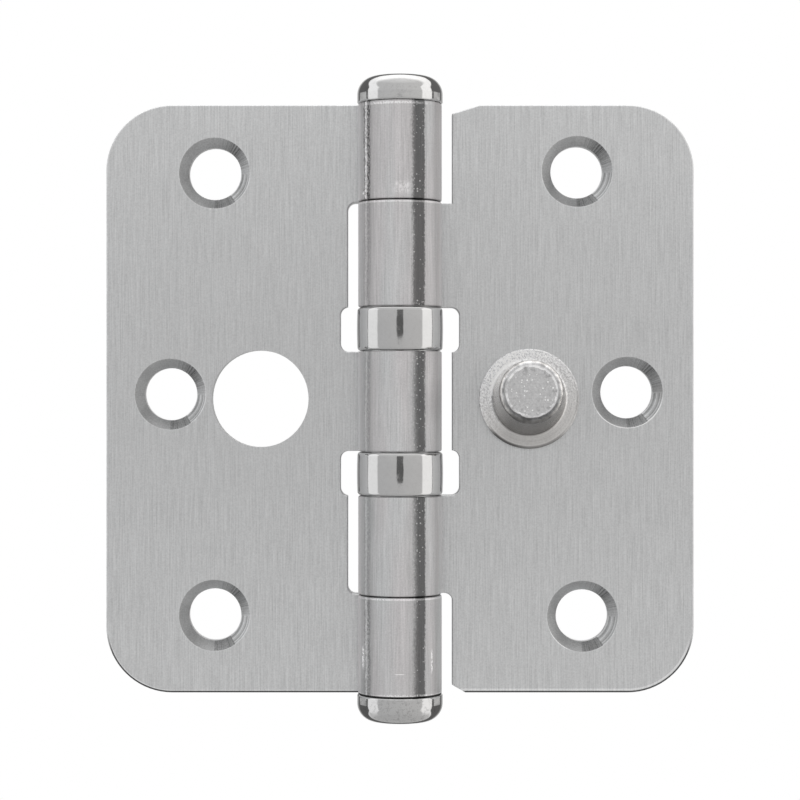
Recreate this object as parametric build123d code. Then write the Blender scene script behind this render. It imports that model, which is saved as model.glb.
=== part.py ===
from build123d import *
import math
import os

# Ball bearing hinge for a door, drawn open and flat.
# The origin is on the pin axis at mid height, +Z runs up the pin, and -Y is the side with the
# countersinks. The fixed leaf lies at -X and carries the outer and middle knuckles.

# Leaves
LEAF_HEIGHT = 89.0
OPEN_WIDTH = 89.0
SHEET = 3.0
CORNER_RADIUS = 10.0
CLOSED_GAP = 2.0
EDGE_ROUND = 0.2

# Pin and knuckles
PIN_DIAMETER = 6.5
PIN_TIGHT_FIT = 0.01
PIN_RUNNING_FIT = 0.05
MIDDLE_KNUCKLE = 15.05
MIDDLE_DROP = 0.375
UPPER_INNER_KNUCKLE = 15.85
LOWER_INNER_KNUCKLE = 14.9
KNUCKLE_GAP = 0.15
KNUCKLE_EDGE_ROUND = 0.25
SEAM_GAP = 0.12
SEAM_LIP_WIDTH = 0.35
SEAM_LIP_HEIGHT = 0.6
JOG_RADIUS = 4.0

# Cut-outs beside the knuckles of the other leaf
CUT_CLEARANCE = 1.6
CUT_CORNER = 1.2
NOTCH_CLEARANCE = 2.5
NOTCH_END_CLEARANCE = 0.1
NOTCH_CORNER = 1.25
TOP_CHAMFER_WIDTH = 4.2
TOP_CHAMFER_HEIGHT = 1.3
BOTTOM_CHAMFER_WIDTH = 2.0
BOTTOM_CHAMFER_HEIGHT = 1.15

# Screw holes, each placed by its distance from the pin and its height
SCREW_HOLE = 7.95
COUNTERSINK = 10.65
COUNTERSINK_ANGLE = 90.0
COUNTERSINK_EDGE_BREAK = 0.12
FIXED_HOLES = [(28.1, 34.2), (34.8, 0.7), (28.1, -32.8)]
MOVING_HOLES = [(26.85, 34.45), (34.45, 1.0), (27.65, -32.95)]

# Thrust bearings
BEARING_HEIGHT = 6.7
BEARING_OVERHANG = 0.2
SHELL_WALL = 0.75
SHELL_END_GAP = 0.08
SHELL_EDGE_ROUND = 0.55
SHELL_CROWN_RADIUS = 60.0
RACE_BORE_CLEARANCE = 0.1
RACE_RIM_CLEARANCE = 0.05
RACE_LAND = 0.26
RACE_GROOVE_DEPTH = 0.3
BALL_CLEARANCE = 0.04
CAGE_BAR = 0.85
CAGE_FACE_CLEARANCE = 0.3
CAGE_SIDE_CLEARANCE = 0.14

# Caps
CAP_OVERHANG = 0.15
CAP_HEIGHT = 4.1
CAP_CROWN_RISE = 0.05
CAP_SHOULDER_RADIUS = 2.7
CAP_EDGE_ROUND = 0.3
CAP_STEM_LENGTH = 4.0
CAP_STEM_FIT = 0.01
PIN_END_GAP = 0.5
PIN_CHAMFER = 0.5

# Security stud on the moving leaf, and its hole in the fixed leaf
STUD_X = 19.5
STUD_HOLE_X = 21.2
STUD_HOLE = 14.7
STUD_FLANGE = 15.1
STUD_FLANGE_THICKNESS = 1.0
STUD_FLANGE_EDGE = 0.15
STUD_BASE = 11.4
STUD_SHOULDER = 9.5
STUD_REACH = 8.0
STUD_LEAN = 8.0
STUD_SHOULDER_ROUND = 0.85
STUD_ROOT_ROUND = 0.4
RIVET_SHANK = 7.0
RIVET_HEAD = 9.0
RIVET_HEAD_DEPTH = 1.0
RIVET_FIT = 0.02

# Worked out from the sizes above
HALF_HEIGHT = LEAF_HEIGHT / 2
HALF_WIDTH = OPEN_WIDTH / 2
FRONT_Y = CLOSED_GAP / 2
BACK_Y = FRONT_Y + SHEET
PIN_RADIUS = PIN_DIAMETER / 2
KNUCKLE_RADIUS = PIN_RADIUS + PIN_RUNNING_FIT + SHEET
BEARING_RADIUS = KNUCKLE_RADIUS + BEARING_OVERHANG
CAP_RADIUS = KNUCKLE_RADIUS + CAP_OVERHANG
RACE_BORE_RADIUS = PIN_RADIUS + RACE_BORE_CLEARANCE
SHELL_BORE_RADIUS = BEARING_RADIUS - SHELL_WALL
RACE_RIM_RADIUS = SHELL_BORE_RADIUS - RACE_RIM_CLEARANCE
BALL_CIRCLE_RADIUS = (RACE_BORE_RADIUS + RACE_RIM_RADIUS) / 2
POCKET_RADIUS = (RACE_RIM_RADIUS - RACE_BORE_RADIUS) / 2 - RACE_LAND
BALL_RADIUS = POCKET_RADIUS - BALL_CLEARANCE
BALL_COUNT = math.floor(2 * math.pi * BALL_CIRCLE_RADIUS / (2 * BALL_RADIUS + CAGE_BAR))
RACE_GAP = 2 * (BALL_RADIUS - RACE_GROOVE_DEPTH)
CAGE_THICKNESS = RACE_GAP - 2 * CAGE_FACE_CLEARANCE
CUT_X = KNUCKLE_RADIUS + CUT_CLEARANCE
WEB_END_X = math.sqrt(KNUCKLE_RADIUS**2 - BACK_Y**2)
NOTCH_X = BEARING_RADIUS + NOTCH_CLEARANCE
MIDDLE_TOP = MIDDLE_KNUCKLE / 2 - MIDDLE_DROP
MIDDLE_BOTTOM = MIDDLE_TOP - MIDDLE_KNUCKLE
UPPER_BEARING_TOP = MIDDLE_TOP + BEARING_HEIGHT
LOWER_BEARING_BOTTOM = MIDDLE_BOTTOM - BEARING_HEIGHT
UPPER_JOINT = UPPER_BEARING_TOP + UPPER_INNER_KNUCKLE
LOWER_JOINT = LOWER_BEARING_BOTTOM - LOWER_INNER_KNUCKLE
FIXED, MOVING = -1, 1
FIXED_KNUCKLES = [
    (UPPER_JOINT + KNUCKLE_GAP / 2, HALF_HEIGHT),
    (MIDDLE_BOTTOM, MIDDLE_TOP),
    (-HALF_HEIGHT, LOWER_JOINT - KNUCKLE_GAP / 2),
]
MOVING_KNUCKLES = [
    (UPPER_BEARING_TOP, UPPER_JOINT - KNUCKLE_GAP / 2),
    (LOWER_JOINT + KNUCKLE_GAP / 2, LOWER_BEARING_BOTTOM),
]


def save(node, *solids):
    """Writes one node, of one solid or of a group of separate ones."""
    shape = solids[0] if len(solids) == 1 else Compound(children=list(solids))
    export_step(shape, f"parts/{node}.step")


def bar(x_range, y_range, z_range):
    """A block between two values on each axis."""
    spans = [sorted(pair) for pair in (x_range, y_range, z_range)]
    size = [high - low for low, high in spans]
    middle = [(high + low) / 2 for low, high in spans]
    return Pos(*middle) * Box(*size)


def turned(section):
    """Turns a section, drawn as radius across and height up, about the Z axis."""
    return revolve(Plane.XZ * section, Axis.Z)


def facing_front(shape, x, z):
    """Points a shape made along +Z at the viewer, its base on the back face of the leaves."""
    return Pos(x, BACK_Y, z) * Rot(90, 0, 0) * shape


def upright_edges(block, side, count):
    """The edges along Y that lie furthest from the pin."""
    edges = block.edges().filter_by(Axis.Y).sort_by(Axis.X)
    return edges[:count] if side == FIXED else edges[-count:]


def bearing_notch(side, near, far, through):
    """The deeper notch that clears a bearing, from its end near the middle knuckle to its far end."""
    clearance = math.copysign(NOTCH_END_CLEARANCE, far)
    reach = (near, far + clearance) if side == FIXED else (near - clearance, far)
    notch = bar((0, side * NOTCH_X), through, reach)
    return fillet(upright_edges(notch, side, 2), NOTCH_CORNER)


def knuckle_gap(side, low, high, through):
    """The gap that takes a knuckle of the other leaf, with a round corner where the punch left one."""
    gap = bar((0, side * CUT_X), through, (low, high))
    corners = upright_edges(gap, side, 2).sort_by(Axis.Z)
    if side == FIXED:
        return fillet(corners[-1] if high > 0 else corners[0], CUT_CORNER)
    return fillet(corners[-1], CUT_CORNER) if low == -HALF_HEIGHT else gap


def inner_corner(end, width, height):
    """The cutter that chamfers an inner corner of the moving leaf."""
    tip = end * HALF_HEIGHT
    wedge = Polyline((CUT_X, tip), (CUT_X + width, tip), (CUT_X, tip - end * height), close=True)
    return Pos(0, BACK_Y, 0) * extrude(Plane.XZ * make_face(wedge), SHEET)


def leaf_sheet(side, knuckles):
    """The flat sheet of a leaf, with round outer corners, cut-outs and a rounded front edge."""
    sheet = bar((0, side * HALF_WIDTH), (FRONT_Y, BACK_Y), (-HALF_HEIGHT, HALF_HEIGHT))
    sheet = fillet(upright_edges(sheet, side, 2), CORNER_RADIUS)
    through = (FRONT_Y - SHEET, BACK_Y + SHEET)
    ends = sorted([z for pair in knuckles for z in pair] + [-HALF_HEIGHT, HALF_HEIGHT])
    for low, high in zip(ends[::2], ends[1::2]):
        if high > low:
            sheet -= knuckle_gap(side, low, high, through)
    sheet -= bearing_notch(side, MIDDLE_TOP, UPPER_BEARING_TOP, through)
    sheet -= bearing_notch(side, MIDDLE_BOTTOM, LOWER_BEARING_BOTTOM, through)
    if side == MOVING:
        sheet -= inner_corner(1, TOP_CHAMFER_WIDTH, TOP_CHAMFER_HEIGHT)
        sheet -= inner_corner(-1, BOTTOM_CHAMFER_WIDTH, BOTTOM_CHAMFER_HEIGHT)
    for low, high in knuckles:
        sheet -= bar((0, side * WEB_END_X), through, (low, high))
    front = sheet.faces().sort_by(Axis.Y)[0].outer_wire().edges()
    rounded = [edge for edge in front if abs(edge.center().X) > WEB_END_X + EDGE_ROUND / 2]
    return fillet(rounded, EDGE_ROUND)


def web_section():
    """The jog that lifts the sheet from the leaf into the eye, seen along the pin."""
    strip_length = CUT_X - EDGE_ROUND
    strip_low = FRONT_Y + EDGE_ROUND
    strip_middle = Pos(-strip_length / 2, (strip_low + BACK_Y) / 2)
    section = Circle(KNUCKLE_RADIUS) + strip_middle * Rectangle(strip_length, BACK_Y - strip_low)
    meeting = section.vertices().sort_by_distance((-WEB_END_X, BACK_Y))[0]
    section = fillet(meeting, JOG_RADIUS)
    jog_reach = math.sqrt((KNUCKLE_RADIUS + JOG_RADIUS) ** 2 - (BACK_Y + JOG_RADIUS) ** 2)
    jog_end = jog_reach * KNUCKLE_RADIUS / (KNUCKLE_RADIUS + JOG_RADIUS)
    kept = Pos(-jog_end - strip_length / 2, strip_low + SHEET) * Rectangle(strip_length, 2 * SHEET)
    return section & kept


def knuckle(side, bore_radius, low, high):
    """A wound knuckle: the eye with rounded ends, its jog, and the seam where it closes."""
    height = high - low
    eye = Cylinder(KNUCKLE_RADIUS, height)
    eye = fillet(eye.edges().filter_by(GeomType.CIRCLE), KNUCKLE_EDGE_ROUND)
    eye += Pos(0, 0, -height / 2) * extrude(web_section(), height)
    eye -= Cylinder(bore_radius, height)
    seam_y = (FRONT_Y - SEAM_GAP, FRONT_Y)
    eye -= bar((-2 * KNUCKLE_RADIUS, 0), seam_y, (-height, height))
    lip_x = -math.sqrt(KNUCKLE_RADIUS**2 - seam_y[0] ** 2)
    lip = Polyline(
        (lip_x + SEAM_LIP_WIDTH, seam_y[0]),
        (lip_x - SEAM_LIP_WIDTH, seam_y[0]),
        (lip_x - SEAM_LIP_WIDTH, seam_y[0] - 2 * SEAM_LIP_HEIGHT),
        close=True,
    )
    eye -= Pos(0, 0, -height) * extrude(make_face(lip), 2 * height)
    eye = Pos(0, 0, (low + high) / 2) * eye
    return eye if side == FIXED else mirror(eye, Plane.YZ)


def countersunk_hole(x, z):
    """The cutter of one countersunk screw hole, with a broken edge at its rim."""
    hole, rim = SCREW_HOLE / 2, COUNTERSINK / 2
    depth = (rim - hole) / math.tan(math.radians(COUNTERSINK_ANGLE / 2))
    broken = rim + COUNTERSINK_EDGE_BREAK
    section = Polyline(
        (0, -SHEET),
        (hole, -SHEET),
        (hole, SHEET - depth - COUNTERSINK_EDGE_BREAK / 2),
        (rim, SHEET - COUNTERSINK_EDGE_BREAK / 2),
        (broken, SHEET),
        (broken, 2 * SHEET),
        (0, 2 * SHEET),
        close=True,
    )
    return facing_front(turned(make_face(section)), x, z)


def leaf(side, knuckles, bore_radius, holes):
    """A leaf with its wound knuckles and screw holes."""
    body = leaf_sheet(side, knuckles)
    for low, high in knuckles:
        body += knuckle(side, bore_radius, low, high)
    for x, z in holes:
        body -= countersunk_hole(side * x, z)
    return body


def fixed_leaf():
    """The fixed leaf, with the round hole that the security stud enters."""
    body = leaf(FIXED, FIXED_KNUCKLES, PIN_RADIUS + PIN_TIGHT_FIT, FIXED_HOLES)
    return body - facing_front(Cylinder(STUD_HOLE / 2, 4 * SHEET), FIXED * STUD_HOLE_X, 0)


def moving_leaf():
    """The moving leaf, with chamfered inner corners and the hole the stud is riveted in."""
    body = leaf(MOVING, MOVING_KNUCKLES, PIN_RADIUS + PIN_RUNNING_FIT, MOVING_HOLES)
    shank, head = RIVET_SHANK / 2 + RIVET_FIT, RIVET_HEAD / 2 + RIVET_FIT
    seat = Polyline(
        (0, 0), (head, 0), (shank, RIVET_HEAD_DEPTH), (shank, SHEET), (0, SHEET), close=True
    )
    return body - facing_front(turned(make_face(seat)), MOVING * STUD_X, 0)


def stud_nose():
    """The tapered nose of the stud, which leans a little towards the top of the hinge."""
    section = make_face(
        Polyline(
            (0, SHEET),
            (STUD_BASE / 2, SHEET),
            (STUD_SHOULDER / 2, SHEET + STUD_REACH),
            (0, SHEET + STUD_REACH),
            close=True,
        )
    )
    shoulder = section.vertices().sort_by_distance((STUD_SHOULDER / 2, SHEET + STUD_REACH))[0]
    nose = turned(fillet(shoulder, STUD_SHOULDER_ROUND))
    upright = Pos(0, 0, SHEET) * Rot(-STUD_LEAN, 0, 0) * Pos(0, 0, -SHEET) * nose
    return upright & Pos(0, 0, SHEET + STUD_REACH) * Cylinder(STUD_FLANGE, 2 * STUD_REACH)


def security_stud():
    """The turned stud: a flange, its nose, and a shank upset into the back of the leaf."""
    flange_top = SHEET + STUD_FLANGE_THICKNESS
    flange_rim = STUD_FLANGE / 2
    section = make_face(
        Polyline(
            (0, 0),
            (RIVET_HEAD / 2, 0),
            (RIVET_SHANK / 2, RIVET_HEAD_DEPTH),
            (RIVET_SHANK / 2, SHEET),
            (flange_rim, SHEET),
            (flange_rim, flange_top),
            (0, flange_top),
            close=True,
        )
    )
    rim = section.vertices().sort_by_distance((flange_rim, flange_top))[0]
    stud = turned(fillet(rim, STUD_FLANGE_EDGE)) + stud_nose()
    root = stud.edges().filter_by_position(Axis.Z, flange_top, flange_top).sort_by(SortBy.LENGTH)[0]
    return facing_front(fillet(root, STUD_ROOT_ROUND), MOVING * STUD_X, 0)


def hinge_pin():
    """The plain ground pin, chamfered at both ends."""
    length = 2 * (HALF_HEIGHT - CAP_STEM_LENGTH - PIN_END_GAP)
    pin = Cylinder(PIN_RADIUS, length)
    return chamfer(pin.edges().filter_by(GeomType.CIRCLE), PIN_CHAMFER)


def cap(end):
    """A polished cap on the end of the barrel, with a stem pressed into the bore."""
    rim, stem = CAP_RADIUS, PIN_RADIUS + PIN_TIGHT_FIT - CAP_STEM_FIT
    base, top = HALF_HEIGHT, HALF_HEIGHT + CAP_HEIGHT
    section = make_face(
        Polyline(
            (0, base - CAP_STEM_LENGTH),
            (stem, base - CAP_STEM_LENGTH),
            (stem, base),
            (rim, base),
            (rim, top - CAP_CROWN_RISE),
            (0, top),
            close=True,
        )
    )
    for height, radius in ((top - CAP_CROWN_RISE, CAP_SHOULDER_RADIUS), (base, CAP_EDGE_ROUND)):
        section = fillet(section.vertices().sort_by_distance((rim, height))[0], radius)
    body = turned(section)
    return body if end == 1 else mirror(body, Plane.XY)


def race():
    """The upper race of a bearing about the bearing's middle, with its ball groove."""
    thickness = (BEARING_HEIGHT - RACE_GAP) / 2
    width = RACE_RIM_RADIUS - RACE_BORE_RADIUS
    ring = Pos(BALL_CIRCLE_RADIUS, (RACE_GAP + thickness) / 2) * Rectangle(width, thickness)
    groove = Pos(BALL_CIRCLE_RADIUS, 0) * Circle(POCKET_RADIUS)
    return turned(ring - groove)


def bearing_shell():
    """The polished sleeve around a bearing, slightly crowned, about the bearing's middle."""
    height = BEARING_HEIGHT - 2 * SHELL_END_GAP
    section = Pos(BEARING_RADIUS, 0) * Rectangle(2 * SHELL_WALL, height)
    section &= Pos(BEARING_RADIUS - SHELL_CROWN_RADIUS, 0) * Circle(SHELL_CROWN_RADIUS)
    section = fillet(section.vertices().sort_by(Axis.X)[-2:], SHELL_EDGE_ROUND)
    return turned(section)


def balls():
    """The ring of balls of one bearing, as separate solids."""
    ball = Pos(BALL_CIRCLE_RADIUS, 0, 0) * Sphere(BALL_RADIUS)
    return [Rot(0, 0, 360 * n / BALL_COUNT) * ball for n in range(BALL_COUNT)]


def ball_cage():
    """The cage that keeps the balls apart."""
    inner = RACE_BORE_RADIUS + CAGE_SIDE_CLEARANCE
    outer = RACE_RIM_RADIUS - CAGE_SIDE_CLEARANCE
    cage = Cylinder(outer, CAGE_THICKNESS) - Cylinder(inner, CAGE_THICKNESS)
    pocket = Pos(BALL_CIRCLE_RADIUS, 0, 0) * Cylinder(POCKET_RADIUS, CAGE_THICKNESS)
    for n in range(BALL_COUNT):
        cage -= Rot(0, 0, 360 * n / BALL_COUNT) * pocket
    return cage


def save_bearing(name, middle):
    """Writes the five nodes of one bearing, centred at a height on the pin."""
    place = Pos(0, 0, middle)
    save(f"{name}_bearing_top_race", place * race())
    save(f"{name}_bearing_bottom_race", place * mirror(race(), Plane.XY))
    save(f"{name}_bearing_shell", place * bearing_shell())
    save(f"{name}_bearing_cage", place * ball_cage())
    save(f"{name}_bearing_balls", *[place * ball for ball in balls()])


os.makedirs("parts", exist_ok=True)
save("fixed_leaf", fixed_leaf())
save("moving_leaf", moving_leaf())
save("hinge_pin", hinge_pin())
save("top_cap", cap(1))
save("bottom_cap", cap(-1))
save("security_stud", security_stud())
save_bearing("upper", MIDDLE_TOP + BEARING_HEIGHT / 2)
save_bearing("lower", MIDDLE_BOTTOM - BEARING_HEIGHT / 2)
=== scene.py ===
import math

import bpy
import numpy as np
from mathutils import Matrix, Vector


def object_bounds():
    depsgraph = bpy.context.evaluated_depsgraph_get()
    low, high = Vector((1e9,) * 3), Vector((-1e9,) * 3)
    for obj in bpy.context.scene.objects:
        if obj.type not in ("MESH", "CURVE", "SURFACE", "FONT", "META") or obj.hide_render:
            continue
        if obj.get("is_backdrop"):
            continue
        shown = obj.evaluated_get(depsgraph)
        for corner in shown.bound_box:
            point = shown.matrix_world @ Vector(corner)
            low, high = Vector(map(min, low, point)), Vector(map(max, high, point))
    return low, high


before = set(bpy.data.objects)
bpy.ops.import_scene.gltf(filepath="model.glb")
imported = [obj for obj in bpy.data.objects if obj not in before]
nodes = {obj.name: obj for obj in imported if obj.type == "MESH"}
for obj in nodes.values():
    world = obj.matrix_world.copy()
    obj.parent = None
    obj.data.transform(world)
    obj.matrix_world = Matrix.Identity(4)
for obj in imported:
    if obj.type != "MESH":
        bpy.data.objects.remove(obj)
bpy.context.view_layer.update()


# Camera.
# The hinge is seen square on, from the side with the countersinks, as it lies open and flat.
# The lens looks straight at the pin from 340 mm, so the barrel bows a little and the leaves don't.
LEAF_FRONT = 0.001
CAMERA_DISTANCE = 0.340
PICTURE_WIDTH = 0.1212
CAMERA_DROP = 0.00018
SENSOR = 36.0

lens = bpy.data.cameras.new("camera")
lens.sensor_width = SENSOR
lens.lens = SENSOR * CAMERA_DISTANCE / PICTURE_WIDTH
lens.clip_start, lens.clip_end = 0.01, 20.0
camera = bpy.data.objects.new("camera", lens)
camera.location = (0.0, LEAF_FRONT - CAMERA_DISTANCE, -CAMERA_DROP)
camera.rotation_euler = (math.pi / 2, 0.0, 0.0)
bpy.context.scene.collection.objects.link(camera)
bpy.context.scene.camera = camera
bpy.context.scene.view_settings.view_transform = "Standard"


# Light tent.
# A pale panel in front with a slot for the lens, bright cloth walls at both sides, and a dim room
# behind with a low pale screen in it. Polished steel mirrors all of it, so most bands come from here;
# the rest are painted into the materials.
MATH, VECTOR, RANGE = "ShaderNodeMath", "ShaderNodeVectorMath", "ShaderNodeMapRange"
RAMP, MIX, NOISE = "ShaderNodeValToRGB", "ShaderNodeMix", "ShaderNodeTexNoise"
# How bright each part is.
PANEL, WALL, ROOM, SCREEN, BACKDROP, FLOORSIDE = 0.70, 1.27, 0.155, 0.88, 0.55, 0.66
# How many degrees off the lens each part begins or ends, and how high the screen stands.
PANEL_END, WALL_END, SCREEN_START, SCREEN_END, BACKDROP_START = 62.5, 96.0, 103.0, 138.0, 150.0
SCREEN_TOP, SCREEN_FADE = 8.4, 2.1
# The slot's half width, half height and rise in degrees.
SLOT_WIDTH, SLOT_HEIGHT, SLOT_RISE = 9.4, 4.1, 1.2
# The right side is lit a little more, and more warmly, than the left.
LEFT_CAST, RIGHT_CAST = (1.39, 1.39, 1.39, 1.0), (1.56, 1.54, 1.515, 1.0)


def linear(code, alpha=1.0):
    """An sRGB hex colour as linear red, green, blue and alpha."""
    part = np.array([int(code[i : i + 2], 16) / 255 for i in (1, 3, 5)])
    value = np.where(part <= 0.04045, part / 12.92, ((part + 0.055) / 1.055) ** 2.4)
    return (*value, alpha)


def add(tree, kind, inputs=(), stops=(), **settings):
    """Adds a node: first its settings, then its inputs by place or by name, each a number or the
    node or output that feeds it, then the stops of a ramp as places and grey levels."""
    node = tree.nodes.new(kind)
    for name, value in settings.items():
        setattr(node, name, value)
    for place, value in inputs.items() if isinstance(inputs, dict) else enumerate(inputs):
        if isinstance(value, bpy.types.Node):
            value = next(output for output in value.outputs if output.enabled)
        if isinstance(value, bpy.types.NodeSocket):
            tree.links.new(value, node.inputs[place])
        elif value is not None:
            node.inputs[place].default_value = value
    while stops and len(node.color_ramp.elements) < len(stops):
        node.color_ramp.elements.new(0.5)
    for element, (place, level) in zip(node.color_ramp.elements if stops else (), stops):
        element.position = place
        element.color = (level, level, level, 1.0)
    return node


def off_lens(degrees):
    """Where a direction so many degrees off the lens falls on a ramp of (1 - cosine) / 2."""
    return (1 - math.cos(math.radians(degrees))) / 2


def sine(degrees):
    """How far up, or across, a direction so many degrees from level, or from straight on, lies."""
    return math.sin(math.radians(degrees))


world = bpy.data.worlds.new("light_tent")
bpy.context.scene.world = world
world.use_nodes = True
tent = world.node_tree
tent.nodes.clear()

# The cloth walls and the panel, which closes in above and below, as the walls lean over the top.
toward = add(tent, "ShaderNodeSeparateXYZ", (add(tent, "ShaderNodeTexCoord").outputs["Generated"],))
right, back, up = toward.outputs
height = add(tent, MATH, (up,), operation="ABSOLUTE")
lean = add(tent, RANGE, (height, 0.35, 0.85, 0.0, 0.6), interpolation_type="SMOOTHSTEP")
angle = add(tent, MATH, (back, lean), operation="SUBTRACT")
angle = add(tent, MATH, (angle, 0.5, 0.5), operation="MULTIPLY_ADD")
cloth = add(
    tent,
    RAMP,
    (angle,),
    [
        (off_lens(WALL_END - 1), 1.0),
        (off_lens(WALL_END + 1), ROOM / WALL),
        (off_lens(BACKDROP_START - 5), ROOM / WALL),
        (off_lens(BACKDROP_START + 5), BACKDROP / WALL),
    ],
)
blurred = add(tent, RANGE, (height, 0.5, 0.95, off_lens(PANEL_END - 1.5), off_lens(PANEL_END - 25)))
panel = add(tent, RANGE, (angle, blurred, off_lens(PANEL_END + 1.5), PANEL / WALL, 1.0))
cloth = add(tent, MATH, (cloth, panel), operation="MULTIPLY")

# The low screen at the back, in front of the dim room.
screen = add(
    tent,
    RAMP,
    (angle,),
    [
        (off_lens(SCREEN_START - 1), 0.0),
        (off_lens(SCREEN_START + 1), 1.0),
        (off_lens(SCREEN_END - 1), 1.0),
        (off_lens(SCREEN_END + 1), 0.0),
    ],
)
low = (height, sine(SCREEN_TOP), sine(SCREEN_TOP - SCREEN_FADE), 0.0, SCREEN / WALL)
low = add(tent, RANGE, low)
screen = add(tent, MATH, (screen, low), operation="MULTIPLY")
walls = add(tent, MATH, (cloth, screen), operation="MAXIMUM")
limit = add(tent, RANGE, (up, -0.8, -0.5, FLOORSIDE / WALL, 1.0))
walls = add(tent, MATH, (walls, limit), operation="MINIMUM")

# The slot for the lens, with rounded corners.
across = add(tent, MATH, (right, sine(SLOT_WIDTH)), operation="DIVIDE")
across = add(tent, MATH, (add(tent, MATH, (across,), operation="ABSOLUTE"), 4.0), operation="POWER")
upward = add(tent, MATH, (up, sine(SLOT_RISE)), operation="SUBTRACT")
upward = add(tent, MATH, (upward, sine(SLOT_HEIGHT)), operation="DIVIDE")
upward = add(tent, MATH, (add(tent, MATH, (upward,), operation="ABSOLUTE"), 4.0), operation="POWER")
reach = add(tent, MATH, (across, upward), operation="ADD")
behind = add(tent, MATH, (back, 0.0), operation="GREATER_THAN")
reach = add(tent, MATH, (behind, 9.0, reach), operation="MULTIPLY_ADD")
slot = add(tent, RAMP, (reach,), [(0.75, ROOM / PANEL), (1.0, 1.0)])

# All of it is lit from above, so it grows brighter from the floor to the roof.
rise = add(tent, MATH, (up, 0.5, 0.5), operation="MULTIPLY_ADD")
rise = add(
    tent,
    RAMP,
    (rise,),
    [(0.12, 0.82), (0.42, 0.87), (0.52, 0.87), (0.58, 1.0), (0.86, 1.0), (0.975, 1.35)],
)
light = add(tent, MATH, (walls, slot), operation="MULTIPLY")
light = add(tent, MATH, (light, rise), operation="MULTIPLY")
side = add(tent, RANGE, (right, -0.9, 0.9))
cast = add(tent, MIX, {0: side, 6: LEFT_CAST, 7: RIGHT_CAST}, data_type="RGBA")
colour = add(tent, VECTOR, {0: cast, "Scale": light}, operation="SCALE")

# The lens itself sees plain white behind the hinge.
seen = add(tent, "ShaderNodeLightPath").outputs["Is Camera Ray"]
shown = add(tent, MIX, {0: seen, 6: colour, 7: (1.0, 1.0, 1.0, 1.0)}, data_type="RGBA")
glow = add(tent, "ShaderNodeBackground", (shown,))
add(tent, "ShaderNodeOutputWorld", (glow,))


# Floor.
# A pale matt sheet under the hinge, wide enough to run out of every view. The metal doesn't
# mirror it, because the tent's own lower half already stands for it.
FLOOR_DROP = 0.062
FLOOR_HALF = 3.0

floor_mesh = bpy.data.meshes.new("floor")
corners = np.array([(-1, -1), (1, -1), (1, 1), (-1, 1)]) * FLOOR_HALF
floor_mesh.from_pydata([(x, y, -FLOOR_DROP) for x, y in corners.tolist()], [], [(0, 1, 2, 3)])
floor = bpy.data.objects.new("floor", floor_mesh)
floor.visible_glossy = False
bpy.context.scene.collection.objects.link(floor)
paper = bpy.data.materials.new("white_paper")
paper.use_nodes = True
sheet = paper.node_tree
sheet.nodes.clear()
matt = add(sheet, "ShaderNodeBsdfDiffuse", ((0.6, 0.6, 0.6, 1.0),))
lit = add(sheet, "ShaderNodeEmission", ((1.0, 1.0, 1.0, 1.0), 1.0))
seen = add(sheet, "ShaderNodeLightPath").outputs["Is Camera Ray"]
add(sheet, "ShaderNodeOutputMaterial", (add(sheet, "ShaderNodeMixShader", (seen, matt, lit)),))
floor_mesh.materials.append(paper)
floor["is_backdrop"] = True


# Leaves.
# Austenitic stainless sheet, 3 mm thick: blanked, its knuckles wound, countersunk on the front, and
# then brushed along the pin on a belt. Each round knuckle carries a pitted strip of painted dark
# reflection, and painted shade round its turn.
# Millimetres: half the leaves' height, their corners' radius and the knuckles' outer radius.
HALF_LEAF, CORNER = 44.5, 10.0
EYE_RADIUS = 6.36
# Each hole's place across and up. The height parts the top row and the bottom row from the middle.
ROW_SPLIT = 17.0
HOLES = {
    "fixed_leaf": [(-28.1, 34.2), (-34.8, 0.7), (-28.1, -32.8)],
    "moving_leaf": [(26.85, 34.45), (34.45, 1.0), (27.65, -32.95)],
}
# The countersinks: their reach, the depths between which their cones lie, and their rims.
CUT_REACH, CUT_FRONT, CUT_BACK, SHEET_SKIN = 5.5, 1.03, 2.5, 1.2
RIM_INSIDE, RIM_OUTSIDE = 5.2, 5.6
# How far in the painted highlight on the lower edge reaches, and how bright the painted rim glints
# are.
BOTTOM_GLINT = {"fixed_leaf": 0.42, "moving_leaf": 0.62}
RIM_GLINT = {"fixed_leaf": 0.0, "moving_leaf": 0.6}
# The painted dark strip, a painted reflection, runs from 15 to 38 degrees off the front, soft on its
# left, and is wider on the upper two knuckles than on the three below this height.
STRIP_SPLIT, STRIP_TONE = 10.0, 0.235
WIDE_STRIP = [(15.3, 0.0), (17.2, 0.28), (18.5, 0.70), (20.3, 0.88), (22.8, 1.0)]
WIDE_STRIP += [(34.7, 1.0), (36.8, 0.0)]
NARROW_STRIP = [(15.8, 0.0), (18.6, 0.27), (20.2, 0.52), (23.2, 0.84), (26.2, 1.0)]
NARROW_STRIP += [(35.2, 1.0), (37.3, 0.0)]
# Scuffs, a scratch, and painted glints and highlight lines on the knuckles, each by its middle and
# half width in degrees off the front, its height and half height in millimetres, how bright it is, and
# how little of it the pits leave out.
SCUFFS_AND_GLINTS = [
    # The first is a scuff, the third a scratch; the rest are painted light: glints, lines at knuckle
    # ends.
    (3.0, 15.0, 31.4, 1.1, 0.24, 0.44),
    (62.0, 34.0, -0.4, 7.4, 0.13, -1.0),
    (-0.5, 7.5, -40.9, 0.09, 0.5, 0.3),
    (-61.0, 3.5, -38.7, 1.9, 0.9, 0.45),
    (49.0, 2.0, -39.2, 2.0, 0.6, 0.45),
    (-60.0, 4.0, 30.6, 0.5, 0.8, 0.5),
    (-8.0, 60.0, 44.0, 0.22, 0.45, 0.42),
    (5.0, 90.0, 29.35, 0.16, 0.3, 0.35),
    (0.0, 90.0, -29.85, 0.16, 0.35, 0.38),
    (8.0, 45.0, -44.1, 0.2, 0.4, 0.47),
]


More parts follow.
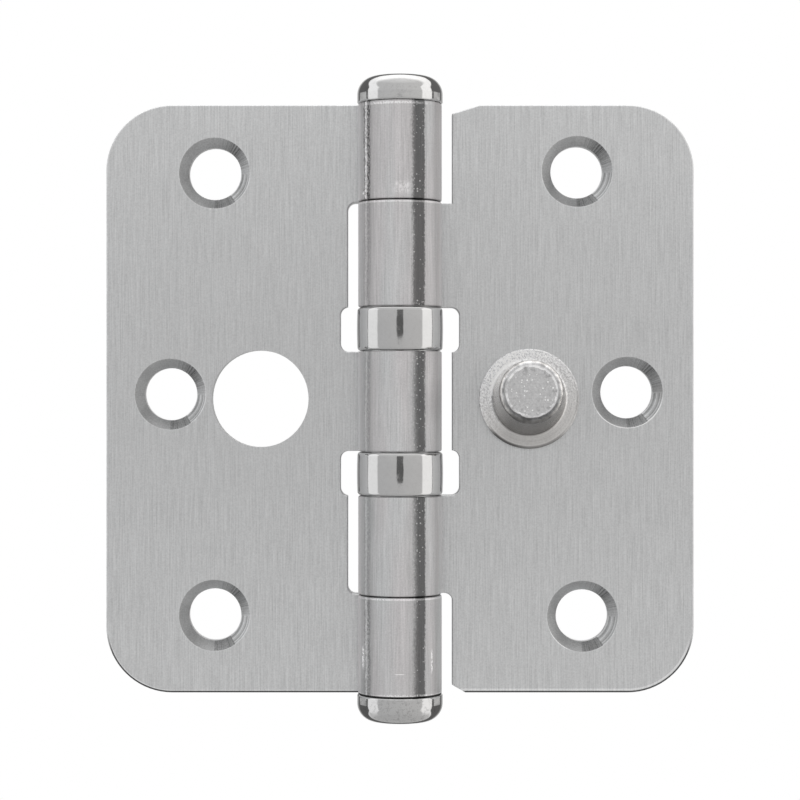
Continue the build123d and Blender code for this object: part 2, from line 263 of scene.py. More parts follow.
def blank(name, **shader_inputs):
    """A new metal with the shader inputs given, its tree, its shader and its place in millimetres."""
    material = bpy.data.materials.new(name)
    material.use_nodes = True
    tree = material.node_tree
    tree.nodes.clear()
    given = {socket.replace("_", " "): value for socket, value in shader_inputs.items()}
    shader = add(tree, "ShaderNodeBsdfPrincipled", {"Metallic": 1.0, **given})
    add(tree, "ShaderNodeOutputMaterial", (shader,))
    place = add(tree, "ShaderNodeTexCoord").outputs["Object"]
    return material, tree, shader, add(tree, VECTOR, {0: place, "Scale": 1000.0}, operation="SCALE")


def dress(names, material):
    """Gives CAD nodes their material."""
    for name in names:
        slots = nodes[name].data.materials
        slots.clear()
        slots.append(material)


def brushed_sheet(name, holes, glint, rim_glint_tone):
    """Brushed stainless steel: grey, with hairlines along the pin 0.1 to 0.2 mm apart that spread
    each highlight sideways. Its holes carry the marks of the cutter with painted light and shade on
    their cones and painted glints on their rims, its lower edge a painted shade and highlight, and its
    knuckles painted shade, a painted dark strip and painted glints."""
    material, tree, shader, mm = blank(name, Anisotropic=0.6, Anisotropic_Rotation=0.25)
    x, y, z = add(tree, "ShaderNodeSeparateXYZ", (mm,)).outputs

    # Hairlines, one fine set and one coarse.
    fine = add(tree, VECTOR, (mm, (5.0, 5.0, 0.15)), operation="MULTIPLY")
    fine = add(tree, NOISE, {"Vector": fine, "Scale": 1.0, "Detail": 2.0, "Roughness": 0.7})
    coarse = add(tree, VECTOR, (mm, (2.3, 2.3, 0.035)), operation="MULTIPLY")
    coarse = add(tree, NOISE, {"Vector": coarse, "Scale": 1.0, "Detail": 2.0, "Roughness": 0.6})
    hair = add(tree, MATH, (coarse, 0.2, fine), operation="MULTIPLY_ADD")
    hair_tone = add(tree, RANGE, (hair, 0.32, 0.88, 0.77, 1.20))
    grit = add(tree, NOISE, {"Vector": mm, "Scale": 4.5, "Detail": 2.0, "Roughness": 0.7})
    leaf_hair = add(tree, MATH, (hair_tone, 0.76, 0.04), operation="MULTIPLY_ADD")
    leaf_hair = add(tree, MATH, (grit, 0.40, leaf_hair), operation="MULTIPLY_ADD")
    eye_hair = add(tree, MATH, (hair_tone, 0.65, 0.17), operation="MULTIPLY_ADD")
    eye_hair = add(tree, MATH, (grit, 0.36, eye_hair), operation="MULTIPLY_ADD")

    # Places on the knuckles, by the angle off the front, with pits to fray each mark's edges.
    toward_lens = add(tree, MATH, (y, -1.0), operation="MULTIPLY")
    turn = add(tree, MATH, (x, toward_lens), operation="ARCTAN2")
    turn = add(tree, MATH, (turn,), operation="DEGREES")
    level = add(tree, VECTOR, (mm, (1.0, 1.0, 0.0)), operation="MULTIPLY")
    radius = add(tree, VECTOR, (level,), operation="LENGTH").outputs["Value"]
    on_eye = add(tree, MATH, (radius, EYE_RADIUS), operation="LESS_THAN")
    pits = add(tree, VECTOR, (mm, (4.0, 4.0, 2.2)), operation="MULTIPLY")
    pits = add(tree, NOISE, {"Vector": pits, "Scale": 1.0, "Detail": 3.0, "Roughness": 0.7})
    drift = add(tree, VECTOR, (mm, (0.1, 0.1, 0.12)), operation="MULTIPLY")
    drift = add(tree, NOISE, {"Vector": drift, "Scale": 1.0, "Detail": 1.0})
    notch = add(tree, MATH, (pits, 0.5), operation="SUBTRACT")
    ragged = add(tree, MATH, (notch, 14.0, turn), operation="MULTIPLY_ADD")
    sway = add(tree, MATH, (drift, 0.5), operation="SUBTRACT")
    ragged = add(tree, MATH, (sway, 5.0, ragged), operation="MULTIPLY_ADD")
    spread = add(tree, RANGE, (ragged, -90.0, 90.0))

    # Painted shade round the knuckle's turn: lightest facing the front, darker towards its sides.
    painted_knuckle_shade = add(
        tree,
        RAMP,
        (add(tree, RANGE, (turn, -180.0, 180.0)),),
        [
            ((a + 180) / 360, tone)
            for a, tone in (
                (-125, 1.0),
                (-90, 0.86),
                (-75, 0.83),
                (-63, 0.65),
                (-45, 0.63),
                (-38, 0.77),
                (-28, 0.86),
                (-15, 0.95),
                (0, 1.0),
                (6, 0.97),
                (16, 0.86),
                (36, 0.76),
                (41, 0.84),
                (47, 0.84),
                (53, 0.75),
                (60, 0.65),
                (70, 0.72),
                (90, 0.8),
                (125, 1.0),
            )
        ],
    )

    # The painted dark strip: a dark reflection painted round each knuckle, with pitted relief.
    frayed = add(tree, MIX, (0.6, None, turn, ragged), data_type="FLOAT")
    frayed = add(tree, RANGE, (frayed, -90.0, 90.0))
    wide, narrow = [
        add(tree, RAMP, (frayed,), [((a + 90) / 180, share) for a, share in stops])
        for stops in (WIDE_STRIP, NARROW_STRIP)
    ]
    lower = add(tree, MATH, (z, STRIP_SPLIT), operation="LESS_THAN")
    painted_dark_strip = add(tree, MIX, (lower, None, wide, narrow), data_type="FLOAT")

    # A painted highlight line with a line of painted shade beside it, both broken into dots, strongest
    # on the top knuckle.
    painted_glint_line = add(
        tree,
        RAMP,
        (spread,),
        [
            ((a + 90) / 180, tone)
            for a, tone in (
                (-59.0, 0.5),
                (-58.0, 0.3),
                (-55.5, 0.3),
                (-55.0, 0.85),
                (-52.0, 0.85),
                (-51.0, 0.5),
                (-50.0, 0.2),
                (-45.0, 0.2),
                (-43.5, 0.5),
            )
        ],
    )
    painted_glint_line_strength = add(
        tree,
        RAMP,
        (add(tree, RANGE, (z, -HALF_LEAF, HALF_LEAF)),),
        [(0.0, 0.5), (0.165, 0.5), (0.17, 0.25), (0.83, 0.3), (0.835, 1.0)],
    )
    dotted = add(tree, RANGE, (pits, 0.42, 0.54, 0.25, 1.1))
    painted_glint_line = add(tree, MATH, (painted_glint_line, 0.5), operation="SUBTRACT")
    painted_glint_line = add(tree, MATH, (painted_glint_line, painted_glint_line_strength), operation="MULTIPLY")
    painted_glint_line = add(tree, MATH, (painted_glint_line, dotted), operation="MULTIPLY")

    # Painted glints: bright specks in the painted dark strip, crowded on some knuckles and along its
    # left edge.
    specks = add(tree, "ShaderNodeTexVoronoi", {"Vector": mm, "Scale": 2.3, "Randomness": 1.0})
    luck = add(tree, "ShaderNodeSeparateColor", (specks.outputs["Color"],)).outputs[0]
    crowd = add(
        tree,
        RAMP,
        (add(tree, RANGE, (z, -HALF_LEAF, HALF_LEAF)),),
        [
            ((height + HALF_LEAF) / (2 * HALF_LEAF), share)
            for height, share in (
                (-40, 0.30),
                (-30, 0.42),
                (-20, 0.62),
                (-15, 0.75),
                (-7, 0.50),
                (2, 0.62),
                (6, 0.85),
                (14, 0.80),
                (17, 0.45),
                (29, 0.38),
                (32, 0.68),
                (37, 0.48),
            )
        ],
    )
    fringe = add(tree, RANGE, (turn, 25.0, 18.0, 0.0, 0.25))
    crowd = add(tree, MATH, (crowd, fringe), operation="ADD")
    size = add(tree, MATH, (luck, crowd), operation="ADD")
    size = add(tree, RANGE, (size, 0.9, 1.5, 0.0, 0.29))
    speck = add(tree, MATH, (specks.outputs["Distance"], size), operation="LESS_THAN")

    # All of these together, and the scuffs and painted glints.
    eye_tone = add(tree, MIX, (painted_dark_strip, None, painted_knuckle_shade, STRIP_TONE), data_type="FLOAT")
    eye_tone = add(tree, MATH, (painted_glint_line, 1.5, eye_tone), operation="MULTIPLY_ADD")
    painted_speck_glint = add(tree, MATH, (speck, painted_dark_strip), operation="MULTIPLY")
    eye_tone = add(tree, MATH, (painted_speck_glint, 0.5, eye_tone), operation="MULTIPLY_ADD")
    for middle, half_turn, height, half_height, strength, least in SCUFFS_AND_GLINTS:
        aside = add(tree, MATH, (turn, middle), operation="SUBTRACT")
        aside = add(tree, MATH, (aside,), operation="ABSOLUTE")
        aside = add(tree, RANGE, (aside, half_turn, half_turn * 0.5))
        above = add(tree, MATH, (z, height), operation="SUBTRACT")
        above = add(tree, MATH, (above,), operation="ABSOLUTE")
        above = add(tree, RANGE, (above, half_height, half_height * 0.5))
        scuff_and_glint = add(tree, MATH, (aside, above), operation="MULTIPLY")
        rough = add(tree, RANGE, (pits, least, least + 0.06, 0.0, strength))
        eye_tone = add(tree, MATH, (scuff_and_glint, rough, eye_tone), operation="MULTIPLY_ADD")
    hair_tone = add(tree, MIX, (on_eye, None, leaf_hair, eye_hair), data_type="FLOAT")
    wound = add(tree, MIX, (on_eye, None, 1.0, eye_tone), data_type="FLOAT")

    # Countersinks: the hole that is nearest, and the place around it as on a clock.
    high = add(tree, MATH, (z, ROW_SPLIT), operation="GREATER_THAN")
    deep = add(tree, MATH, (z, -ROW_SPLIT), operation="LESS_THAN")
    centres = [(hole[0], 0.0, hole[1]) for hole in holes]
    centre = add(tree, MIX, {0: high, 4: centres[1], 5: centres[0]}, data_type="VECTOR")
    centre = add(tree, MIX, {0: deep, 4: centre, 5: centres[2]}, data_type="VECTOR")
    beside = add(tree, VECTOR, (mm, centre), operation="SUBTRACT")
    beside = add(tree, VECTOR, (beside, (1.0, 0.0, 1.0)), operation="MULTIPLY")
    out = add(tree, VECTOR, (beside,), operation="LENGTH").outputs["Value"]
    across, _, upward = add(tree, "ShaderNodeSeparateXYZ", (beside,)).outputs
    clock = add(tree, MATH, (across, upward), operation="ARCTAN2")
    clock = add(tree, MATH, (clock, 2 * math.pi), operation="DIVIDE")
    clock = add(tree, MATH, (clock,), operation="FRACT")
    cut = add(tree, MATH, (out, CUT_REACH), operation="LESS_THAN")
    below_skin = add(tree, MATH, (y, CUT_FRONT), operation="GREATER_THAN")
    cut = add(tree, MATH, (cut, below_skin), operation="MULTIPLY")
    above_land = add(tree, MATH, (y, CUT_BACK), operation="LESS_THAN")
    cut = add(tree, MATH, (cut, above_land), operation="MULTIPLY")

    # Painted light and shade round each cone, the same in every hole: darker at the upper right and
    # below, lightest from three to five o'clock. The cutter's marks are torn in one place and finely
    # turned in another.
    painted_cone_shade = add(
        tree,
        RAMP,
        (clock,),
        [
            (0.03, 0.4),
            (0.125, 0.2),
            (0.25, 0.45),
            (0.4, 0.5),
            (0.402, 0.25),
            (0.5, 0.2),
            (0.502, 0.3),
            (0.75, 0.3),
            (0.92, 0.4),
        ],
    )
    spokes = add(tree, NOISE, (None, clock, 130.0, 2.0, 0.7), noise_dimensions="1D")
    rings = add(tree, NOISE, (None, out, 3.4, 2.0, 0.7), noise_dimensions="1D")
    torn = add(
        tree,
        RAMP,
        (clock,),
        [
            (0.0, 0.15),
            (0.06, 0.9),
            (0.25, 0.7),
            (0.255, 0.0),
            (0.4, 0.0),
            (0.41, 0.6),
            (0.50, 0.6),
            (0.51, 0.08),
        ],
    )
    turned = add(tree, RAMP, (clock,), [(0.252, 0.0), (0.257, 1.0), (0.4, 1.0), (0.405, 0.0)])
    marks = add(tree, MATH, (spokes, 0.5), operation="SUBTRACT")
    marks = add(tree, MATH, (marks, torn), operation="MULTIPLY")
    lines = add(tree, MATH, (rings, 0.5), operation="SUBTRACT")
    lines = add(tree, MATH, (lines, turned), operation="MULTIPLY")
    cut_tone = add(tree, MATH, (marks, 0.55, painted_cone_shade), operation="MULTIPLY_ADD")
    cut_tone = add(tree, MATH, (lines, 0.75, cut_tone), operation="MULTIPLY_ADD")
    cut_tone = add(tree, MATH, (cut_tone, 1.8, -0.25), operation="MULTIPLY_ADD")
    cut_tone = add(tree, MATH, (grit, 0.5, cut_tone), operation="MULTIPLY_ADD")

    # Painted glints on the rims of the middle and bottom holes, round part of their turn.
    lip = add(tree, RANGE, (out, RIM_INSIDE, RIM_OUTSIDE))
    lip = add(tree, RAMP, (lip,), [(0.25, 0.0), (0.4, 1.0), (0.6, 1.0), (0.75, 0.0)])
    middle_rim = [(0.26, 0.0), (0.31, 0.5), (0.36, 1.0), (0.64, 1.0), (0.67, 0.0)]
    middle_rim = add(tree, RAMP, (clock,), middle_rim)
    bottom_rim = add(tree, RAMP, (clock,), [(0.55, 0.0), (0.58, 0.7), (0.66, 0.7), (0.70, 0.0)])
    painted_rim_glint = add(tree, MIX, (deep, None, middle_rim, bottom_rim), data_type="FLOAT")
    not_top = add(tree, MATH, (z, ROW_SPLIT), operation="LESS_THAN")
    painted_rim_glint = add(tree, MATH, (painted_rim_glint, not_top), operation="MULTIPLY")
    painted_rim_glint = add(tree, MATH, (painted_rim_glint, lip), operation="MULTIPLY")
    on_skin = add(tree, MATH, (y, SHEET_SKIN), operation="LESS_THAN")
    painted_rim_glint = add(tree, MATH, (painted_rim_glint, on_skin), operation="MULTIPLY")
    painted_rim_glint = add(tree, MATH, (painted_rim_glint, rim_glint_tone, 1.0), operation="MULTIPLY_ADD")

    # Painted shade and highlight along the lower edge, from the distance to the outline: a dark line
    # at the edge and a bright one just inside.
    sideways = add(tree, MATH, (x,), operation="ABSOLUTE")
    sideways = add(tree, MATH, (sideways, HALF_LEAF - CORNER), operation="SUBTRACT")
    sideways = add(tree, MATH, (sideways, 0.0), operation="MAXIMUM")
    downward = add(tree, MATH, (z, -1.0), operation="MULTIPLY")
    downward = add(tree, MATH, (downward, HALF_LEAF - CORNER), operation="SUBTRACT")
    downward = add(tree, MATH, (downward, 0.0), operation="MAXIMUM")
    inset = add(tree, MATH, (sideways, sideways), operation="MULTIPLY")
    inset = add(tree, MATH, (downward, downward, inset), operation="MULTIPLY_ADD")
    inset = add(tree, MATH, (inset,), operation="SQRT")
    inset = add(tree, MATH, (CORNER, inset), operation="SUBTRACT")
    bottom = add(tree, RANGE, (downward, 1.0, 4.0))
    painted_edge_shade_and_glint = add(
        tree,
        RAMP,
        (inset,),
        [(0.0, 0.14), (0.24, 0.16), (0.31, 1.3), (glint - 0.04, 1.3), (glint, 1.0)],
    )
    painted_edge_shade_and_glint = add(tree, MIX, (bottom, None, 1.0, painted_edge_shade_and_glint), data_type="FLOAT")

    # All of it together, on steel that is a touch warmer where it was wound.
    tone = add(tree, MIX, (cut, None, hair_tone, cut_tone), data_type="FLOAT")
    tone = add(tree, MATH, (tone, wound), operation="MULTIPLY")
    tone = add(tree, MATH, (tone, painted_edge_shade_and_glint), operation="MULTIPLY")
    tone = add(tree, MATH, (tone, painted_rim_glint), operation="MULTIPLY")
    warmth = add(tree, VECTOR, (mm, (0.3, 0.3, 0.04)), operation="MULTIPLY")
    warmth = add(tree, NOISE, {"Vector": warmth, "Scale": 1.0, "Detail": 1.0})
    warmth = add(tree, RANGE, (warmth, 0.3, 0.6))
    warmth = add(tree, MATH, (warmth, on_eye), operation="MULTIPLY")
    metal = add(tree, MIX, {0: warmth, 6: linear("#DDDEDF"), 7: linear("#DEDCDD")}, data_type="RGBA")
    colour = add(tree, VECTOR, {0: metal, "Scale": tone}, operation="SCALE")
    tree.links.new(colour.outputs["Vector"], shader.inputs["Base Color"])
    roughness = add(tree, RANGE, (hair, 0.35, 0.95, 0.38, 0.30))
    roughness = add(tree, MIX, (on_eye, None, roughness, 0.6), data_type="FLOAT")
    tree.links.new(roughness.outputs[0], shader.inputs["Roughness"])
    along_pin = add(tree, "ShaderNodeCombineXYZ", (0.0, 0.0, 1.0))
    tree.links.new(along_pin.outputs[0], shader.inputs["Tangent"])
    grooves = add(tree, MATH, (pits, painted_dark_strip, fine), operation="MULTIPLY_ADD")
    relief = add(tree, "ShaderNodeBump", {"Strength": 0.5, "Distance": 0.00001, "Height": grooves})
    tree.links.new(relief.outputs["Normal"], shader.inputs["Normal"])
    return material


for leaf, holes in HOLES.items():
    dress([leaf], brushed_sheet(f"brushed_stainless_{leaf}", holes, BOTTOM_GLINT[leaf], RIM_GLINT[leaf]))


# Caps and bearing sleeves.
# Turned steel, tumbled and polished until it mirrors the tent, with a few fine scratches left around
# each piece by the last wheel and dull spots where it was handled.
HANDLED_HALF = 50.0
material, tree, shader, mm = blank("mirror_polished_steel")
z = add(tree, "ShaderNodeSeparateXYZ", (mm,)).outputs["Z"]
wipe = add(tree, VECTOR, (mm, (0.35, 0.35, 9.0)), operation="MULTIPLY")
wipe = add(tree, NOISE, {"Vector": wipe, "Scale": 1.0, "Detail": 2.0, "Roughness": 0.7})
cloud = add(tree, NOISE, {"Vector": mm, "Scale": 0.9, "Detail": 4.0, "Roughness": 0.65})
dull = add(tree, RANGE, (cloud, 0.56, 0.70))
smudge = add(tree, NOISE, {"Vector": mm, "Scale": 1.7, "Detail": 4.0, "Roughness": 0.75})
smudge = add(tree, RANGE, (smudge, 0.50, 0.66))

# The bottom cap was handled most, the top cap less and the sleeves hardly at all.
handled = add(tree, RANGE, (z, -HANDLED_HALF, HANDLED_HALF))
handled = add(tree, RAMP, (handled,), [(0.055, 1.0), (0.06, 0.12), (0.94, 0.12), (0.945, 0.35)])
smudge = add(tree, MATH, (smudge, handled), operation="MULTIPLY")
metal = add(tree, MIX, {0: cloud, 6: linear("#C2C2C2"), 7: linear("#CACACA")}, data_type="RGBA")
clean = add(tree, MATH, (smudge, -0.26, 1.0), operation="MULTIPLY_ADD")
colour = add(tree, VECTOR, {0: metal, "Scale": clean}, operation="SCALE")
tree.links.new(colour.outputs["Vector"], shader.inputs["Base Color"])
gloss = add(tree, MATH, (dull, 0.09, 0.05), operation="MULTIPLY_ADD")
gloss = add(tree, MATH, (smudge, 0.12, gloss), operation="MULTIPLY_ADD")
gloss = add(tree, MATH, (wipe, 0.03, gloss), operation="MULTIPLY_ADD")
tree.links.new(gloss.outputs[0], shader.inputs["Roughness"])

# The wheel left a slow swell, and each sleeve faces a touch towards mid height.
swell = add(tree, NOISE, {"Vector": mm, "Scale": 0.55, "Detail": 1.0})
swell = add(tree, MATH, (wipe, 0.02, swell), operation="MULTIPLY_ADD")
from_middle = add(tree, MATH, (z,), operation="ABSOLUTE")
swell = add(tree, MATH, (from_middle, 0.98, swell), operation="MULTIPLY_ADD")
relief = add(tree, "ShaderNodeBump", {"Strength": 0.35, "Distance": 0.00004, "Height": swell})
tree.links.new(relief.outputs["Normal"], shader.inputs["Normal"])
dress(["top_cap", "bottom_cap", "upper_bearing_shell", "lower_bearing_shell"], material)


# Security stud.
# Free-cutting steel, turned with a flange and a tapered nose and left as the lathe cut it: fine
# rings around its axis, a grainy parted-off end, and a sparkle of torn grain on the flange. The
# taper, the shoulder and the flange carry painted light and shade.
# Millimetres: the stud's place, the leaf's face under its flange, the flange's own face, the length
# of the shank, and how far along the nose its shoulder and its end begin.
STUD_X, STUD_SEAT, FLANGE_FACE, SHANK = 19.5, 1.0, -0.3, 2.0
SHOULDER, NOSE_END = 7.05, 7.9
# Where, from the axis, one ring gives way to the next on the nose and on the flange.
FACE_EDGE, RING_INSIDE, RING_OUTSIDE = (3.68, 3.6), (3.93, 4.0), (4.22, 4.32)
STREAK_WIDTH, RIM_WIDTH = (5.2, 6.6), (7.1, 7.3)
LEAN = math.radians(8.0)
material, tree, shader, mm = blank("turned_free_cutting_steel", Anisotropic=0.35)
beside = add(tree, VECTOR, (mm, (STUD_X, 0.0, 0.0)), operation="SUBTRACT")
x, y, z = add(tree, "ShaderNodeSeparateXYZ", (beside,)).outputs
flat = add(tree, VECTOR, (beside, (1.0, 0.0, 1.0)), operation="MULTIPLY")
out = add(tree, VECTOR, (flat,), operation="LENGTH").outputs["Value"]
clock = add(tree, MATH, (x, z), operation="ARCTAN2")
clock = add(tree, MATH, (clock, 2 * math.pi), operation="DIVIDE")
clock = add(tree, MATH, (clock,), operation="FRACT")

# The nose has its own axis: the place along it, the distance from it and the way round it.
proud = add(tree, MATH, (STUD_SEAT, y), operation="SUBTRACT")
along = add(tree, MATH, (z, math.sin(LEAN)), operation="MULTIPLY")
along = add(tree, MATH, (proud, math.cos(LEAN), along), operation="MULTIPLY_ADD")
sink = add(tree, MATH, (proud, math.sin(LEAN)), operation="MULTIPLY")
upward = add(tree, MATH, (z, math.cos(LEAN)), operation="MULTIPLY")
upward = add(tree, MATH, (upward, sink), operation="SUBTRACT")
reach = add(tree, "ShaderNodeCombineXYZ", (x, upward, 0.0))
reach = add(tree, VECTOR, (reach,), operation="LENGTH").outputs["Value"]
turn = add(tree, MATH, (x, upward), operation="ARCTAN2")
turn = add(tree, MATH, (turn, 2 * math.pi), operation="DIVIDE")
turn = add(tree, MATH, (turn,), operation="FRACT")
flange = add(tree, MATH, (y, FLANGE_FACE), operation="GREATER_THAN")
end = add(tree, MATH, (along, NOSE_END), operation="GREATER_THAN")
shoulder = add(tree, MATH, (along, SHOULDER), operation="GREATER_THAN")
rings = add(tree, MATH, (y, 1.7, out), operation="MULTIPLY_ADD")
rings = add(tree, NOISE, (None, rings, 3.5, 3.0, 0.75), noise_dimensions="1D")
grain = add(tree, NOISE, {"Vector": mm, "Scale": 3.2, "Detail": 3.0, "Roughness": 0.7})
wander = add(tree, NOISE, {"Vector": mm, "Scale": 1.1, "Detail": 3.0, "Roughness": 0.6})

# The taper is dark below, where it mirrors the room.
tone = add(tree, RANGE, (rings, 0.3, 0.7, 0.88, 1.10))
shade = add(
    tree,
    RAMP,
    (clock,),
    [
        (0.0, 0.95),
        (0.2, 0.72),
        (0.34, 0.3),
        (0.45, 0.3),
        (0.52, 0.38),
        (0.62, 0.4),
        (0.70, 0.68),
        (0.78, 0.9),
        (0.84, 1.3),
        (0.92, 1.2),
        (0.96, 0.98),
    ],
)
tone = add(tree, MATH, (tone, shade), operation="MULTIPLY")

# The rounded shoulder, as three rings of painted light and shade: its outside, painted light above
# and dark below as the taper is, a groove in painted shade, and the edge of the end, painted light all
# round. The tool's chatter breaks them into flats.
outside = add(
    tree,
    RAMP,
    (turn,),
    [(0.08, 1.3), (0.25, 0.8), (0.42, 0.3), (0.58, 0.3), (0.75, 0.8), (0.92, 1.3)],
)
painted_groove_shade = add(tree, MATH, (outside, 0.75), operation="MULTIPLY")
painted_end_edge_light = add(tree, MATH, (outside, 0.3, 0.9), operation="MULTIPLY_ADD")
chatter = add(tree, RANGE, (wander, 0.35, 0.65, 0.7, 1.3))
blur = add(tree, MATH, (wander, 0.5), operation="SUBTRACT")
blur = add(tree, MATH, (blur, 0.5, reach), operation="MULTIPLY_ADD")
past = add(tree, RANGE, (blur, *RING_INSIDE))
ring = add(tree, MIX, (past, None, painted_end_edge_light, painted_groove_shade), data_type="FLOAT")
past = add(tree, RANGE, (blur, *RING_OUTSIDE))
ring = add(tree, MIX, (past, None, ring, outside), data_type="FLOAT")
ring = add(tree, MATH, (ring, chatter), operation="MULTIPLY")
tone = add(tree, MIX, (shoulder, None, tone, ring), data_type="FLOAT")

# The parted-off end, grey and grainy with a sparkle here and there.
sparks = add(tree, "ShaderNodeTexVoronoi", {"Vector": mm, "Scale": 2.6, "Randomness": 1.0})
luck = add(tree, "ShaderNodeSeparateColor", (sparks.outputs["Color"],)).outputs[0]
size = add(tree, RANGE, (luck, 0.45, 1.0, 0.0, 0.42))
spark = add(tree, MATH, (sparks.outputs["Distance"], size), operation="LESS_THAN")
patch = add(tree, MATH, (wander, 0.5), operation="GREATER_THAN")
spark = add(tree, MATH, (spark, patch), operation="MULTIPLY")
face = add(tree, RANGE, (grain, 0.35, 0.65, 0.76, 0.98))
# Darker patches part way out on the end.
darker_patch = add(tree, RANGE, (wander, 0.44, 0.38))
darker_patch = add(tree, MATH, (darker_patch, add(tree, RANGE, (reach, 2.2, 3.5))), operation="MULTIPLY")
face = add(tree, MATH, (darker_patch, -0.28, face), operation="MULTIPLY_ADD")
face = add(tree, MATH, (spark, 1.4, face), operation="MULTIPLY_ADD")
middle = add(tree, RANGE, (blur, *FACE_EDGE))
middle = add(tree, MATH, (middle, end), operation="MULTIPLY")
tone = add(tree, MIX, (middle, None, tone, face), data_type="FLOAT")

# The flange: torn and sparkling above, finely turned below, painted lighter at the upper left, with a
# painted bright streak by the nose and a painted shadow on its rim.
# Torn grain above; its sparkle and lighter colour are a painted highlight, strongest at the upper
# left.
torn = add(
    tree,
    RAMP,
    (clock,),
    [
        (0.0, 0.9),
        (0.10, 0.7),
        (0.3, 0.2),
        (0.45, 0.1),
        (0.60, 0.1),
        (0.70, 0.5),
        (0.85, 1.0),
        (1.0, 0.9),
    ],
)
torn = add(tree, MATH, (torn, flange), operation="MULTIPLY")
in_front = add(tree, MATH, (y, STUD_SEAT), operation="LESS_THAN")
torn = add(tree, MATH, (torn, in_front), operation="MULTIPLY")
flecks = add(tree, RANGE, (grain, 0.40, 0.60, -0.25, 0.6))
# Painted light round the flange: lighter at the upper left, darker below.
level = add(
    tree,
    RAMP,
    (clock,),
    [
        (0.0, 1.12),
        (0.08, 1.10),
        (0.17, 0.98),
        (0.25, 0.98),
        (0.36, 0.96),
        (0.42, 0.84),
        (0.58, 0.80),
        (0.63, 0.92),
        (0.70, 1.0),
        (0.80, 1.02),
        (0.92, 1.22),
        (1.0, 1.12),
    ],
)
plate = add(tree, RANGE, (rings, 0.3, 0.7, 0.88, 1.10))
plate = add(tree, MATH, (plate, level), operation="MULTIPLY")
plate = add(tree, MATH, (torn, flecks, plate), operation="MULTIPLY_ADD")
# A painted reflection: a bright streak on the flange at the upper left, close to the nose.
painted_streak = add(tree, RAMP, (clock,), [(0.76, 0.0), (0.82, 0.8), (0.92, 1.0), (0.96, 0.0)])
near = add(tree, RANGE, (out, *STREAK_WIDTH))
near = add(tree, RAMP, (near,), [(0.0, 0.0), (0.25, 1.0), (0.45, 1.0), (0.8, 0.0)])
painted_streak = add(tree, MATH, (painted_streak, near), operation="MULTIPLY")
plate = add(tree, MATH, (painted_streak, 1.1, plate), operation="MULTIPLY_ADD")
# Painted shadow along the flange's rim, on its lower half.
rim = add(
    tree,
    RAMP,
    (clock,),
    [
        (0.20, 0.0),
        (0.24, 0.35),
        (0.28, 0.3),
        (0.31, 0.1),
        (0.36, 0.1),
        (0.40, 0.5),
        (0.50, 0.6),
        (0.55, 0.9),
        (0.62, 0.9),
        (0.66, 0.0),
    ],
)
rim = add(tree, MATH, (rim, add(tree, RANGE, (out, *RIM_WIDTH))), operation="MULTIPLY")
plate = add(tree, MIX, (rim, None, plate, 0.12), data_type="FLOAT")
tone = add(tree, MIX, (flange, None, tone, plate), data_type="FLOAT")

# The end upset in the leaf's back is as grainy as the nose's.
upset = add(tree, MATH, (y, STUD_SEAT + SHANK), operation="GREATER_THAN")
tone = add(tree, MIX, (upset, None, tone, face), data_type="FLOAT")
metal = add(tree, MIX, {0: torn, 6: linear("#D9D7D5"), 7: linear("#E2E3E5")}, data_type="RGBA")
metal = add(tree, MIX, {0: end, 6: metal, 7: linear("#D8D8D9")}, data_type="RGBA")
colour = add(tree, VECTOR, {0: metal, "Scale": tone}, operation="SCALE")
tree.links.new(colour.outputs["Vector"], shader.inputs["Base Color"])
gloss = add(tree, MIX, (end, None, 0.2, 0.36), data_type="FLOAT")
gloss = add(tree, MIX, (flange, None, gloss, 0.3), data_type="FLOAT")
gloss = add(tree, MATH, (torn, 0.22, gloss), operation="MULTIPLY_ADD")
gloss = add(tree, MATH, (rings, 0.06, gloss), operation="MULTIPLY_ADD")
tree.links.new(gloss.outputs[0], shader.inputs["Roughness"])

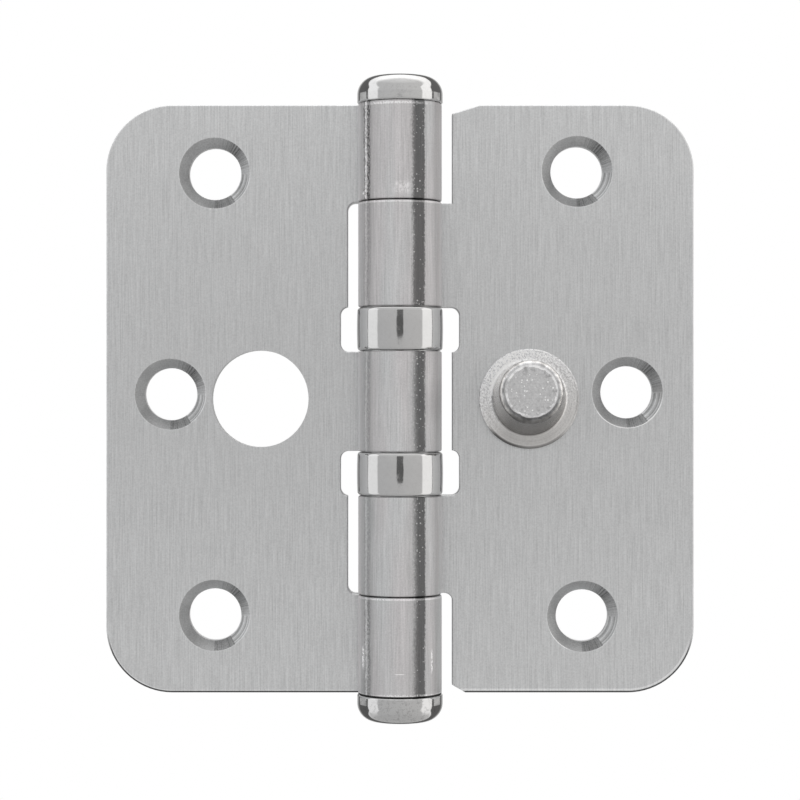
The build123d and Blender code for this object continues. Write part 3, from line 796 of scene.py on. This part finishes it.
# The lathe's rings run round the axis and draw each highlight out across them.
around = add(tree, MATH, (x, -1.0), operation="MULTIPLY")
around = add(tree, "ShaderNodeCombineXYZ", (z, 0.0, around))
turned_too = {"vector_type": "VECTOR", "convert_from": "OBJECT", "convert_to": "WORLD"}
around = add(tree, "ShaderNodeVectorTransform", (around,), **turned_too)
tree.links.new(around.outputs[0], shader.inputs["Tangent"])
height = add(tree, MIX, (end, None, rings, grain), data_type="FLOAT")
ragged = add(tree, MATH, (grain, 5.0), operation="MULTIPLY")
height = add(tree, MIX, (torn, None, height, ragged), data_type="FLOAT")
relief = add(tree, "ShaderNodeBump", {"Strength": 0.5, "Distance": 0.00005, "Height": height})
tree.links.new(relief.outputs["Normal"], shader.inputs["Normal"])
dress(["security_stud"], material)


# Pin, races and balls.
# Hardened bearing steel, ground: bright, with grinding lines round the pin and the races too fine to
# see one by one.
material, tree, shader, mm = blank("ground_bearing_steel")
lines = add(tree, VECTOR, (mm, (0.4, 0.4, 14.0)), operation="MULTIPLY")
lines = add(tree, NOISE, {"Vector": lines, "Scale": 1.0, "Detail": 2.0})
colour = add(tree, MIX, {0: lines, 6: linear("#B6B6B6"), 7: linear("#CACACA")}, data_type="RGBA")
tree.links.new(colour.outputs[2], shader.inputs["Base Color"])
gloss = add(tree, RANGE, (lines, 0.3, 0.7, 0.14, 0.24))
tree.links.new(gloss.outputs[0], shader.inputs["Roughness"])
dress(
    ["hinge_pin"]
    + [f"{b}_bearing_{p}" for b in ("upper", "lower") for p in ("top_race", "bottom_race", "balls")],
    material,
)


# Cages.
# Brass strip, pierced for the balls: yellow, a little darker where the punch smeared it.
material, tree, shader, mm = blank("pierced_brass")
smear = add(tree, NOISE, {"Vector": mm, "Scale": 1.5, "Detail": 3.0})
colour = add(tree, MIX, {0: smear, 6: linear("#C79F54"), 7: linear("#E0BF7A")}, data_type="RGBA")
tree.links.new(colour.outputs[2], shader.inputs["Base Color"])
gloss = add(tree, RANGE, (smear, 0.3, 0.7, 0.24, 0.36))
tree.links.new(gloss.outputs[0], shader.inputs["Roughness"])
dress(["upper_bearing_cage", "lower_bearing_cage"], material)


# The bounds of the dressed part.
low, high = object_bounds()
